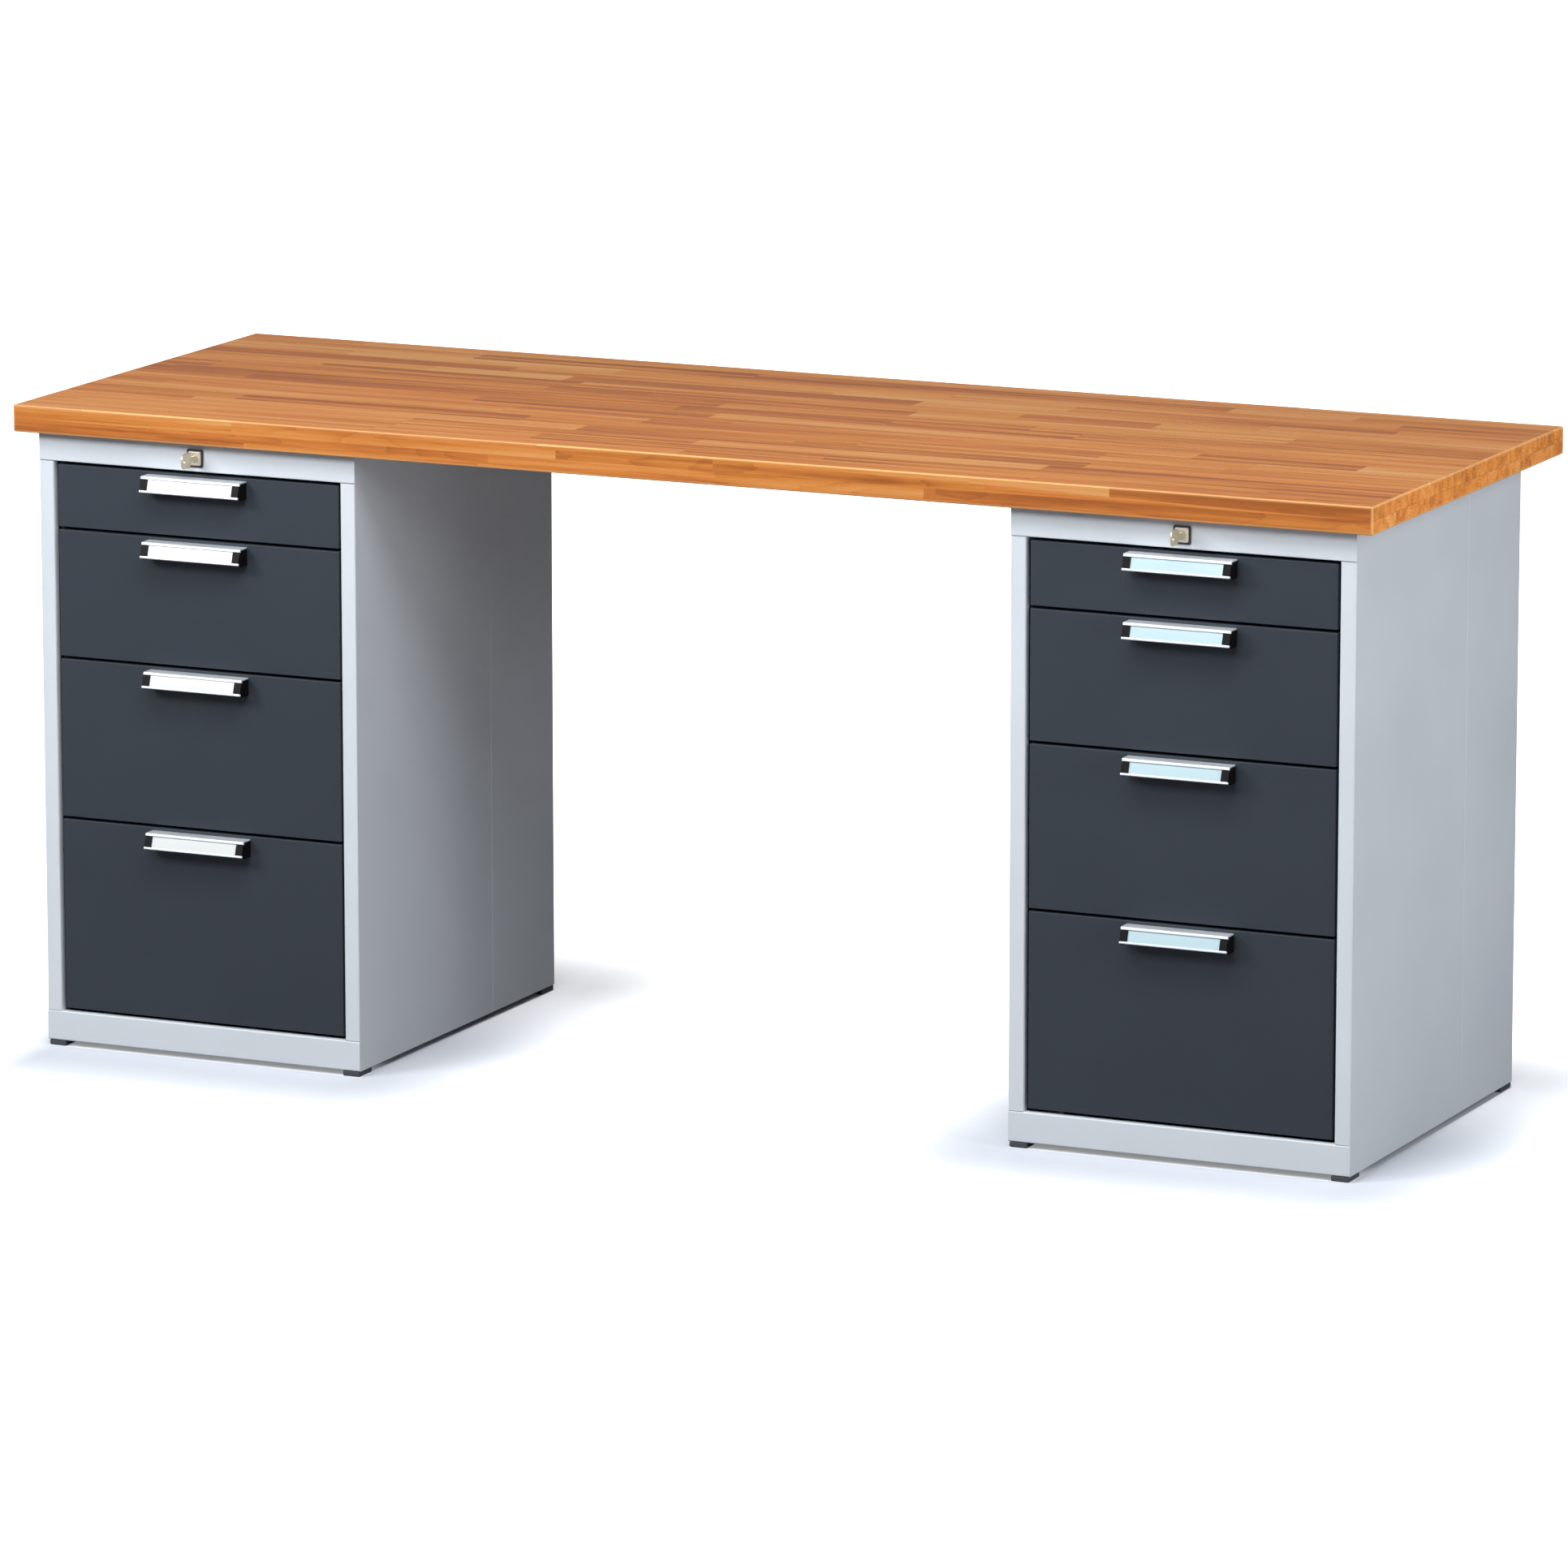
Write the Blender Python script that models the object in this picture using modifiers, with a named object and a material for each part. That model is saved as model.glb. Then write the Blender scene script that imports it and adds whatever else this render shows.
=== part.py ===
"""Workbench with two drawer pedestals.

Metres, +Z up.  X runs along the worktop, the drawers open towards -Y and the
feet stand on z = 0.  The origin is the bottom centre of the whole object.

A solid-wood worktop lies on two identical sheet-metal pedestals.  Each
pedestal is two side panels with folded stiles, a U-shaped rear shell, a top
frame with the lock rail, a base tray, a welded runner cage, four foot pads,
a cam lock with its key, a central locking bar and four drawers on rollers.
"""
import math

import bpy
import bmesh
from mathutils import Matrix, Vector

# ------------------------------------------------------------- dimensions
TOP_L, TOP_D, TOP_T = 2.000, 0.712, 0.038      # worktop length, depth, thickness
TOP_Z = 0.903                                  # working height
KEY_OUT = 0.040                                # key tip in front of the frame
SETBACK = 0.020                                # frame behind the worktop's front edge
TOP_Y0 = (KEY_OUT - SETBACK - TOP_D) / 2       # worktop's front edge
TOP_ROUND = 0.0025                             # worktop edge rounding

GAP = 0.0003                                   # between pieces that touch
PED_W, PED_D = 0.487, 0.608                    # pedestal width and depth
PED_X = TOP_L / 2 - 0.029 - PED_W / 2          # pedestal centre from the middle
FRONT = TOP_Y0 + SETBACK                       # front plane of the frame
REAR = FRONT + PED_D
Z_BASE = 0.008                                 # underside of the pedestal
Z_HEAD = TOP_Z - TOP_T - GAP                   # top of the pedestal
SHEET = 0.0012                                 # carcass sheet
BEND = 0.0016                                  # bend radius at mid-sheet
STILE = 0.022
RAIL_TOP_Z = 0.825                             # lower edge of the lock rail
RAIL_BOT_Z = 0.050                             # upper edge of the plinth rail
RETURN = 0.012                                 # folded returns round the opening
SEAM_Y = FRONT + 0.409                         # side panel / rear shell seam
HALF_W = PED_W / 2

FACE = FRONT + 0.004                           # drawer fronts sit 4 mm back
FACE_HALF = HALF_W - STILE - 0.0045            # half width of a drawer front
FACE_DEPTH = 0.015
# lower and upper edge of each drawer front, from the top drawer down
FACES = [(0.7333, 0.8205), (0.5523, 0.7293), (0.3266, 0.5483), (0.0545, 0.3226)]
TRAVEL = 0.420                                 # drawer travel

TRAY_HALF = 0.2078
TRAY_Y0 = FACE + FACE_DEPTH + GAP
TRAY_Y1 = TRAY_Y0 + 0.540
TRAY_T = 0.0010
TRAY_LIP = 0.008
SLIDE_Z = 0.022                                # slide centre above the tray's floor
SLIDE_H = 0.014                                # half height of the tray's slide member
MEMBER_X = 0.2209                              # outer edge of the slide member, clear of the stile's return
MEMBER_Y1 = FRONT + 0.531                      # rear end of the slide member
RUNNER_Y0, RUNNER_Y1 = FRONT + 0.036, FRONT + 0.571
RUNNER_X = 0.22345                             # mid-plane of the runner's web
RUNNER_H = 0.01525
ROLLER_Y = RUNNER_Y0 + 0.015

HANDLE_HALF = 0.076
HANDLE_DROP = 0.004                            # handle's top below the front's top
HANDLE_TILT = math.radians(18.0)

LOCK_Z = 0.844
LOCK_CRANK = 0.00566                           # crank pin radius: 8 mm lift in 90 deg
LOCK_LIFT = 0.008
BAR_Y0 = FRONT + 0.0258                        # plane of the locking bar
BAR_T = 0.002
ESCUTCHEON = (0.0245, 0.0250)                  # dark surround of the lock
LOCK_FACE = 0.0190                             # square face of the lock
PROUD = 0.0046                                 # lock face in front of the frame

# --------------------------------------------------------------- scene set-up
for ob in list(bpy.data.objects):
    bpy.data.objects.remove(ob, do_unlink=True)

scene = bpy.context.scene
PARTS = bpy.data.collections.new("workbench_with_drawers")
CUTTERS = bpy.data.collections.new("cutters")
scene.collection.children.link(PARTS)
scene.collection.children.link(CUTTERS)


def material(name, rgb, rough, metal):
    m = bpy.data.materials.new(name)
    m.use_nodes = True
    b = m.node_tree.nodes["Principled BSDF"]
    b.inputs["Base Color"].default_value = (*rgb, 1.0)
    b.inputs["Roughness"].default_value = rough
    b.inputs["Metallic"].default_value = metal
    m.diffuse_color = (*rgb, 1.0)
    return m


COLOURS = {
    "wood": ((0.52, 0.22, 0.075), 0.45, 0.0),
    "light_grey_paint": ((0.62, 0.68, 0.72), 0.45, 0.0),
    "anthracite_paint": ((0.047, 0.056, 0.075), 0.5, 0.0),
    "tray_paint": ((0.55, 0.60, 0.63), 0.5, 0.0),
    "zinc_steel": ((0.55, 0.56, 0.58), 0.4, 0.9),
    "aluminium": ((0.80, 0.81, 0.82), 0.35, 0.9),
    "black_plastic": ((0.015, 0.015, 0.017), 0.5, 0.0),
    "foot_plastic": ((0.06, 0.07, 0.08), 0.6, 0.0),
    "nickel": ((0.70, 0.66, 0.58), 0.25, 1.0),
    "key_steel": ((0.62, 0.58, 0.50), 0.3, 1.0),
}


def own_material(node, kind):
    rgb, rough, metal = COLOURS[kind]
    return material(node + "_" + kind, rgb, rough, metal)


# ------------------------------------------------------------- shape helpers
def as_object(name, bm, coll=None):
    bm.normal_update()
    me = bpy.data.meshes.new(name)
    bm.to_mesh(me)
    bm.free()
    ob = bpy.data.objects.new(name, me)
    (coll or CUTTERS).objects.link(ob)
    return ob


def box(name, lo, hi, coll=None):
    """Axis-aligned block between two corners."""
    bm = bmesh.new()
    size = [hi[i] - lo[i] for i in range(3)]
    mid = [(hi[i] + lo[i]) / 2 for i in range(3)]
    bmesh.ops.create_cube(bm, size=1.0, matrix=Matrix.Translation(mid) @ Matrix.Diagonal((*size, 1.0)))
    return as_object(name, bm, coll)


def cylinder(name, p, q, r, seg=24, coll=None):
    """Round bar from p to q."""
    p, q = Vector(p), Vector(q)
    d = q - p
    bm = bmesh.new()
    turn = d.to_track_quat("Z", "Y").to_matrix().to_4x4()
    bmesh.ops.create_cone(bm, cap_ends=True, segments=seg, radius1=r, radius2=r, depth=d.length,
                          matrix=Matrix.Translation((p + q) / 2) @ turn)
    return as_object(name, bm, coll)


def fillet(path, r, n=3):
    """Replace each inner corner of an open path with an arc of radius r."""
    out = [Vector(path[0])]
    for a, b, c in zip(path, path[1:], path[2:]):
        a, b, c = Vector(a), Vector(b), Vector(c)
        u, v = (a - b).normalized(), (c - b).normalized()
        half = u.angle(v) / 2
        reach = min(r / math.tan(half), (a - b).length * 0.45, (c - b).length * 0.45)
        rad = reach * math.tan(half)
        centre = b + (u + v).normalized() * (rad / math.sin(half))
        s, e = b + u * reach - centre, b + v * reach - centre
        sweep = s.angle_signed(e)
        for k in range(n + 1):
            t = -sweep * k / n
            out.append(centre + Vector((s.x * math.cos(t) - s.y * math.sin(t),
                                        s.x * math.sin(t) + s.y * math.cos(t))))
    out.append(Vector(path[-1]))
    return out


AXES = {"Z": lambda a, b, s: (a, b, s), "X": lambda a, b, s: (s, a, b), "Y": lambda a, b, s: (a, s, b)}


def sheet(name, path, axis, s0, s1, thick=SHEET, bend=BEND, n=3, coll=None):
    """Folded sheet: an open path drawn at mid-sheet, drawn out along one axis."""
    pts = fillet(path, bend, n) if bend else [Vector(p) for p in path]
    put = AXES[axis]
    bm = bmesh.new()
    row = [bm.verts.new(put(p.x, p.y, s0)) for p in pts]
    edges = [bm.edges.new(pair) for pair in zip(row, row[1:])]
    new = bmesh.ops.extrude_edge_only(bm, edges=edges)["geom"]
    shift = Vector(put(0.0, 0.0, s1 - s0))
    bmesh.ops.translate(bm, verts=[g for g in new if isinstance(g, bmesh.types.BMVert)], vec=shift)
    ob = as_object(name, bm, coll)
    mod = ob.modifiers.new("thickness", "SOLIDIFY")
    mod.thickness = thick
    mod.offset = 0.0
    mod.use_even_offset = True
    return ob


def outline(name, pts, axis, s0, s1, holes=(), coll=None):
    """Flat outline with thickness: a filled 2D curve, made a mesh."""
    cu = bpy.data.curves.new(name, "CURVE")
    cu.dimensions = "2D"
    cu.fill_mode = "BOTH"
    cu.extrude = (s1 - s0) / 2
    for loop in (pts, *holes):
        sp = cu.splines.new("POLY")
        sp.points.add(len(loop) - 1)
        for q, p in zip(sp.points, loop):
            q.co = (p[0], p[1], 0.0, 1.0)
        sp.use_cyclic_u = True
    ob = bpy.data.objects.new(name, cu)
    CUTTERS.objects.link(ob)
    put = AXES[axis]
    cols = [Vector(put(1, 0, 0)), Vector(put(0, 1, 0)), Vector(put(0, 0, 1))]
    turn = Matrix((cols[0], cols[1], cols[2])).transposed().to_4x4()
    ob.matrix_world = Matrix.Translation(Vector(put(0, 0, (s0 + s1) / 2))) @ turn
    bpy.context.view_layer.update()
    ev = ob.evaluated_get(bpy.context.evaluated_depsgraph_get())
    me = bpy.data.meshes.new_from_object(ev)
    me.transform(ob.matrix_world)
    bpy.data.objects.remove(ob, do_unlink=True)
    bm = bmesh.new()
    bm.from_mesh(me)
    bmesh.ops.remove_doubles(bm, verts=bm.verts, dist=1e-6)
    bmesh.ops.recalc_face_normals(bm, faces=bm.faces)
    bpy.data.meshes.remove(me)
    return as_object(name, bm, coll)


def bake(base, join=(), cut=(), smooth=True):
    """Mesh of base joined to some bodies and cut by others."""
    for kind, group in (("UNION", join), ("DIFFERENCE", cut)):
        for other in group:
            mod = base.modifiers.new(kind.lower(), "BOOLEAN")
            mod.operation = kind
            mod.solver = "EXACT"
            mod.object = other
            other.hide_render = True
            other.display_type = "WIRE"
    bpy.context.view_layer.update()
    ev = base.evaluated_get(bpy.context.evaluated_depsgraph_get())
    me = bpy.data.meshes.new_from_object(ev)
    bm = bmesh.new()
    bm.from_mesh(me)
    bmesh.ops.remove_doubles(bm, verts=bm.verts, dist=2e-6)
    bmesh.ops.dissolve_degenerate(bm, dist=1e-6, edges=bm.edges)
    bm.to_mesh(me)
    bm.free()
    me.materials.clear()
    for ob in (base, *join, *cut):
        if ob.name in bpy.data.objects:
            bpy.data.objects.remove(ob, do_unlink=True)
    if smooth:
        me.shade_smooth()
        me.set_sharp_from_angle(angle=math.radians(35))
    return me


def place(name, me, kind, parent, at=(0.0, 0.0, 0.0)):
    """One piece: its own object and material; at is where the mesh's zero lies."""
    own = me.copy()
    own.name = name
    ob = bpy.data.objects.new(name, own)
    own.materials.append(own_material(name, kind))
    PARTS.objects.link(ob)
    ob.parent = parent
    ob.location = Vector(at) - Vector(parent.location if parent else (0, 0, 0))
    return ob


def empty(name, at):
    ob = bpy.data.objects.new(name, None)
    ob.empty_display_size = 0.05
    ob.location = at
    PARTS.objects.link(ob)
    return ob


# ------------------------------------------------------------------ worktop
top = box("worktop_blank", (-TOP_L / 2, TOP_Y0, TOP_Z - TOP_T), (TOP_L / 2, TOP_Y0 + TOP_D, TOP_Z))
soft = top.modifiers.new("edge_rounding", "BEVEL")
soft.width = TOP_ROUND
soft.segments = 3
soft.limit_method = "ANGLE"
place("worktop", bake(top), "wood", None)


# ----------------------------------------------------------- pedestal carcass
def side_panel(sign):
    """Side wall with its folded stile; sign +1 is the pedestal's +X side."""
    mid = HALF_W - SHEET / 2
    path = [(sign * mid, SEAM_Y), (sign * mid, FRONT + SHEET / 2),
            (sign * (HALF_W - STILE + SHEET / 2), FRONT + SHEET / 2),
            (sign * (HALF_W - STILE + SHEET / 2), FRONT + RETURN)]
    wall = sheet("side", path, "Z", Z_BASE, Z_HEAD)

    def span(a, b):
        return (min(sign * a, sign * b), max(sign * a, sign * b))

    cuts = []
    for z0, z1 in ((RAIL_TOP_Z - GAP, 1.0), (-0.1, RAIL_BOT_Z + GAP)):
        x0, x1 = span(HALF_W - 0.040, HALF_W + 0.010)
        cuts.append(box("rail_step", (x0, FRONT - 0.01, z0), (x1, FRONT + SHEET + GAP, z1)))
        x0, x1 = span(HALF_W - 0.040, HALF_W - SHEET - GAP / 2)
        cuts.append(box("rail_room", (x0, FRONT - 0.01, z0), (x1, FRONT + RETURN + 0.004, z1)))
    return bake(wall, cut=cuts)


def rear_shell():
    """Rear third of both sides and the back, one U, joggled behind the side panels."""
    mid = HALF_W - SHEET / 2
    inner = mid - SHEET - GAP
    half = [(inner, SEAM_Y - 0.012), (inner, SEAM_Y + 0.0002), (mid, SEAM_Y + 0.0020), (mid, REAR - SHEET / 2)]
    path = half + [(-x, y) for x, y in reversed(half)]
    pts = [Vector(p) for p in path[:3]] + fillet(path[2:6], BEND, 3)[1:-1] + [Vector(p) for p in path[5:]]
    return bake(sheet("rear", pts, "Z", Z_BASE, Z_HEAD, bend=0))


def side_relief(z0, z1):
    """Cutters that narrow a full-width frame so that it fits between the side panels."""
    reach = HALF_W - 2 * SHEET - 2 * GAP - 0.0003
    return [box("relief", (min(s * reach, s * 0.3), FRONT + SHEET, z0), (max(s * reach, s * 0.3), REAR + 0.05, z1))
            for s in (-1, 1)]


def top_frame():
    """Top plate, lock rail and its return, folded from one sheet."""
    y = FRONT + SHEET / 2
    path = [(REAR - SHEET - GAP, Z_HEAD - SHEET / 2), (y, Z_HEAD - SHEET / 2),
            (y, RAIL_TOP_Z + SHEET / 2), (FRONT + RETURN, RAIL_TOP_Z + SHEET / 2)]
    frame = sheet("top", path, "X", -HALF_W, HALF_W)
    hole = cylinder("lock_hole", (0, FRONT - 0.01, LOCK_Z), (0, FRONT + 0.01, LOCK_Z), 0.0083, 20)
    return bake(frame, cut=side_relief(0.80, 0.90) + [hole])


def base_tray():
    """Bottom plate, plinth rail and its return."""
    y = FRONT + SHEET / 2
    path = [(REAR - SHEET - GAP, Z_BASE + SHEET / 2), (y, Z_BASE + SHEET / 2),
            (y, RAIL_BOT_Z - SHEET / 2), (FRONT + RETURN, RAIL_BOT_Z - SHEET / 2)]
    return bake(sheet("base", path, "X", -HALF_W, HALF_W), cut=side_relief(-0.01, 0.10))


FOOT = (0.026, 0.038)


def foot_pad():
    pad = box("foot", (-FOOT[0] / 2, -FOOT[1] / 2, 0.0), (FOOT[0] / 2, FOOT[1] / 2, Z_BASE - GAP))
    soft = pad.modifiers.new("rounding", "BEVEL")
    soft.width = 0.0012
    soft.segments = 1
    return bake(pad)


def slide_heights():
    return [lo + 0.008 + SLIDE_Z for lo, hi in FACES]


def runner_cage():
    """Four uprights, eight C runners with their rollers, cross ties and bar studs, welded."""
    bits = []
    for s in (-1, 1):
        for y0, y1 in ((RUNNER_Y0 + 0.0010, RUNNER_Y0 + 0.0310), (RUNNER_Y1 - 0.0140, RUNNER_Y1 + 0.0160)):
            e, web = 0.00075, RUNNER_X + 0.0012
            path = [(s * 0.2408, y0 + e), (s * web, y0 + e), (s * web, y1 - e), (s * 0.2408, y1 - e)]
            bits.append(sheet("upright", path, "Z", 0.0120, 0.8600, thick=0.0015, bend=0))
        for z in slide_heights():
            path = [(s * 0.2107, z - RUNNER_H), (s * RUNNER_X, z - RUNNER_H),
                    (s * RUNNER_X, z + RUNNER_H), (s * 0.2107, z + RUNNER_H)]
            bits.append(sheet("runner", path, "Y", RUNNER_Y0, RUNNER_Y1, thick=0.0015, bend=0))
            bits.append(cylinder("roller", (s * (RUNNER_X - 0.0001), ROLLER_Y, z), (s * 0.2100, ROLLER_Y, z), 0.0122, 14))
    for z in (0.030, 0.340, 0.680):
        bits.append(box("tie", (-RUNNER_X - 0.0013, RUNNER_Y1 + 0.0020, z), (RUNNER_X + 0.0013, RUNNER_Y1 + 0.0150, z + 0.030)))
    for z in STUD_Z:
        bits.append(cylinder("stud", (STRIP_X, RUNNER_Y0 + 0.0020, z), (STRIP_X, BAR_Y0 - GAP - 0.0010, z), 0.0020, 8))
        bits.append(cylinder("stud_head", (STRIP_X, BAR_Y0 - GAP, z), (STRIP_X, BAR_Y0 - GAP - 0.0020, z), 0.0042, 10))
    return bake(bits[0], join=bits[1:])


STRIP_X = -0.23325                              # centre of the locking bar's strip
STUD_Z = (0.640, 0.235)                         # guide studs that carry the bar


def arc(cx, cy, r, a0, a1, n=6):
    return [(cx + r * math.cos(math.radians(a0 + (a1 - a0) * k / n)),
             cy + r * math.sin(math.radians(a0 + (a1 - a0) * k / n))) for k in range(n + 1)]


def slot(cx, cz, w, h, r, n=3):
    """Closed outline of a slot w by h with corner radius r."""
    x, z = w / 2 - r, h / 2 - r
    return (arc(cx + x, cz + z, r, 0, 90, n) + arc(cx - x, cz + z, r, 90, 180, n) +
            arc(cx - x, cz - z, r, 180, 270, n) + arc(cx + x, cz - z, r, 270, 360, n))


def locking_bar():
    """Flat L: an arm to the lock's crank pin and a strip with one catch for each drawer."""
    x0, x1 = -0.2400, -0.2265
    tip = -0.2128
    z_arm0, z_arm1 = LOCK_Z - 0.0130, LOCK_Z + 0.0050
    pts = [(x0, 0.030 + 0.025)]
    pts += [(x1, 0.030 + 0.025)]
    for z in reversed(slide_heights()):
        lo, hi = z - SLIDE_H - 0.0106, z - SLIDE_H - 0.0006
        pts += [(x1, lo), (tip, lo), (tip, hi), (x1, hi)]
    pts += [(x1, z_arm0), (0.0060, z_arm0), (0.0060, z_arm1), (x0, z_arm1)]
    holes = [slot(-0.0049, LOCK_Z - 0.0040, 0.0066, 0.0044, 0.0020)]
    holes += [slot(STRIP_X, z + (-LOCK_LIFT) / 2, 0.0048, LOCK_LIFT + 0.0048, 0.0023) for z in STUD_Z]
    return bake(outline("bar", pts, "Y", BAR_Y0, BAR_Y0 + BAR_T, holes=holes))


def lock_barrel():
    """Escutcheon, square face and body, bored for the plug."""
    y = FRONT - GAP
    ring = outline("escutcheon", slot(0, LOCK_Z, *ESCUTCHEON, 0.0022), "Y", y - 0.0018, y)
    face = outline("face", slot(0, LOCK_Z, LOCK_FACE, LOCK_FACE, 0.0020), "Y", FRONT - PROUD + 0.0005, y - 0.0010)
    brow = outline("brow", slot(0, LOCK_Z, LOCK_FACE - 0.001, LOCK_FACE - 0.001, 0.0015), "Y",
                   FRONT - PROUD, FRONT - PROUD + 0.0010)
    body = cylinder("body", (0, y - 0.0010, LOCK_Z), (0, FRONT + 0.0200, LOCK_Z), 0.0080, 20)
    bore = cylinder("bore", (0, FRONT - 0.02, LOCK_Z), (0, FRONT + 0.03, LOCK_Z), 0.0060, 20)
    return bake(ring, join=[face, brow, body], cut=[bore])


def key_and_plug():
    """Turning part of the lock, about its own axis: plug, crank with pin, and the key."""
    y = FRONT
    plug = cylinder("plug", (0, y - PROUD - 0.0004, 0), (0, y + 0.0212, 0), 0.0057, 20)
    crank = cylinder("crank", (0, y + 0.0210, 0), (0, y + 0.0240, 0), 0.0090, 16)
    p = -LOCK_CRANK * math.sqrt(0.5)
    pin = cylinder("pin", (p, y + 0.0238, p), (p, y + 0.0305, p), 0.0017, 8)
    shank = box("shank", (-0.0011, y - 0.0170, -0.0036), (0.0011, y - 0.0030, 0.0036))
    bow_l, bow_h = 0.0260, 0.0210
    bow_y = y - KEY_OUT + bow_l / 2
    bow = outline("bow", slot(bow_y, 0.0, bow_l, bow_h, 0.0075, 5), "X", -0.0011, 0.0011,
                  holes=[slot(bow_y - 0.0070, 0.0, 0.0062, 0.0062, 0.0031, 3)])
    return bake(plug, join=[crank, pin, shank, bow])


# -------------------------------------------------------------------- drawers
def open_box(name, lo, hi, missing, radius, lip=0.0, thick=TRAY_T, segments=2):
    """Sheet box without one side; an optional lip folds inwards round the open side."""
    bm = bmesh.new()
    size = [hi[i] - lo[i] for i in range(3)]
    mid = [(hi[i] + lo[i]) / 2 for i in range(3)]
    bmesh.ops.create_cube(bm, size=1.0, matrix=Matrix.Translation(mid) @ Matrix.Diagonal((*size, 1.0)))
    way = Vector(missing)
    gone = [f for f in bm.faces if f.normal.dot(way) > 0.9]
    bmesh.ops.delete(bm, geom=gone, context="FACES_ONLY")
    if lip:
        rim = [e for e in bm.edges if e.is_boundary]
        new = bmesh.ops.extrude_edge_only(bm, edges=rim)["geom"]
        for v in (g for g in new if isinstance(g, bmesh.types.BMVert)):
            for i in range(3):
                if abs(way[i]) < 0.5:
                    v.co[i] += lip if v.co[i] < mid[i] else -lip
    folds = [e for e in bm.edges if not e.is_boundary and len(e.link_faces) == 2
             and e.calc_face_angle(0.0) > math.radians(60)]
    bmesh.ops.bevel(bm, geom=folds, offset=radius, segments=segments, profile=0.5, affect="EDGES")
    ob = as_object(name, bm)
    mod = ob.modifiers.new("thickness", "SOLIDIFY")
    mod.thickness = thick
    mod.offset = -1.0
    mod.use_even_offset = True
    return ob


def tray(z0, z1):
    """Drawer tray with its two roller channels; the floor is at z0."""
    body = open_box("tray", (-TRAY_HALF, TRAY_Y0, z0), (TRAY_HALF, TRAY_Y1, z1), (0, 0, 1), 0.0020, lip=TRAY_LIP, segments=1)
    z = z0 + SLIDE_Z
    add, cut = [], []
    for s in (-1, 1):
        web = TRAY_HALF + 0.0004
        path = [(s * MEMBER_X, z - SLIDE_H + 0.0006), (s * web, z - SLIDE_H + 0.0006),
                (s * web, z + SLIDE_H - 0.0006), (s * MEMBER_X, z + SLIDE_H - 0.0006)]
        add.append(sheet("member", path, "Y", TRAY_Y0 + 0.0030, MEMBER_Y1, bend=0))
        y = MEMBER_Y1 + 0.0150
        add.append(cylinder("rear_roller", (s * (TRAY_HALF - 0.0005), y, z), (s * MEMBER_X, y, z), 0.0140, 14))
        if s < 0:
            # slots that the locking bar's catch rises through, drawer shut and drawer full out
            for y in (BAR_Y0 + BAR_T / 2, BAR_Y0 + BAR_T / 2 + TRAVEL):
                cut.append(box("catch_slot", (-0.2230, y - 0.0040, z - SLIDE_H - 0.002),
                               (-0.2100, y + 0.0040, z - SLIDE_H + 0.0030)))
    return bake(body, join=add, cut=cut)


def drawer_front(h):
    """Folded front, open at the back; local zero is the middle of its lower edge, on the face."""
    return bake(open_box("front", (-FACE_HALF, 0.0, 0.0), (FACE_HALF, FACE_DEPTH, h), (0, 1, 0), 0.0012))


def on_slope(s, m):
    """Point of the handle's section: s down its sloping face, m behind that face (mm to m)."""
    a = Vector((21.0, -0.6))
    u = Vector((math.sin(HANDLE_TILT), -math.cos(HANDLE_TILT)))
    n = Vector((math.cos(HANDLE_TILT), math.sin(HANDLE_TILT)))
    p = a + s * u - m * n
    return (-p.x / 1000, p.y / 1000)


def handle_profile():
    """Extruded aluminium: top plate, sloping label channel and its two lips."""
    pts = [(-0.0003, 0.0), (-0.0202, 0.0), on_slope(0, 0), on_slope(3.2, 0), on_slope(3.2, 1.1),
           on_slope(1.3, 1.1), on_slope(1.3, 2.0), on_slope(20.7, 2.0), on_slope(20.7, 1.1),
           on_slope(18.8, 1.1), on_slope(18.8, 0), on_slope(21.4, 0), on_slope(22.0, 0.6),
           on_slope(22.0, 3.4), (-0.01782, -0.0018), (-0.0003, -0.0018)]
    ext = outline("profile", pts, "X", -HANDLE_HALF, HANDLE_HALF)
    win = [on_slope(3.2, -2.0), on_slope(18.8, -2.0), on_slope(18.8, 6.0), on_slope(3.2, 6.0)]
    cuts = [outline("end_window", win, "X", *sorted((s * (HANDLE_HALF - 0.011), s * (HANDLE_HALF + 0.01))))
            for s in (-1, 1)]
    return bake(ext, cut=cuts)


def handle_grip():
    """Black moulding behind the profile: back plate, end cheeks and the blocks that close the channel."""
    back = box("back", (-HANDLE_HALF, -0.0023, -0.0245), (HANDLE_HALF, -0.0003, -0.0021))
    bits = []
    for s in (-1, 1):
        cheek = [(-0.0010, -0.0021), (-0.0176, -0.0021), on_slope(21.5, 3.7), (-0.0190, -0.0245), (-0.0010, -0.0245)]
        bits.append(outline("cheek", cheek, "X", *sorted((s * (HANDLE_HALF - 0.003), s * HANDLE_HALF))))
        block = [on_slope(3.5, 0.3), on_slope(18.5, 0.3), on_slope(18.5, 4.6), on_slope(3.5, 4.6)]
        bits.append(outline("block", block, "X", *sorted((s * (HANDLE_HALF - 0.0107), s * (HANDLE_HALF - 0.0001)))))
    return bake(back, join=bits)


# ------------------------------------------------------------------- assembly
SIDE = {s: side_panel(s) for s in (-1, 1)}
REAR_SHELL, TOP_FRAME, BASE = rear_shell(), top_frame(), base_tray()
CAGE, BAR, BARREL, KEY = runner_cage(), locking_bar(), lock_barrel(), key_and_plug()
FOOT_MESH, PROFILE, GRIP = foot_pad(), handle_profile(), handle_grip()
TRAYS = [tray(lo + 0.008, hi - 0.012) for lo, hi in FACES]
FRONTS = [drawer_front(hi - lo) for lo, hi in FACES]

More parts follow.
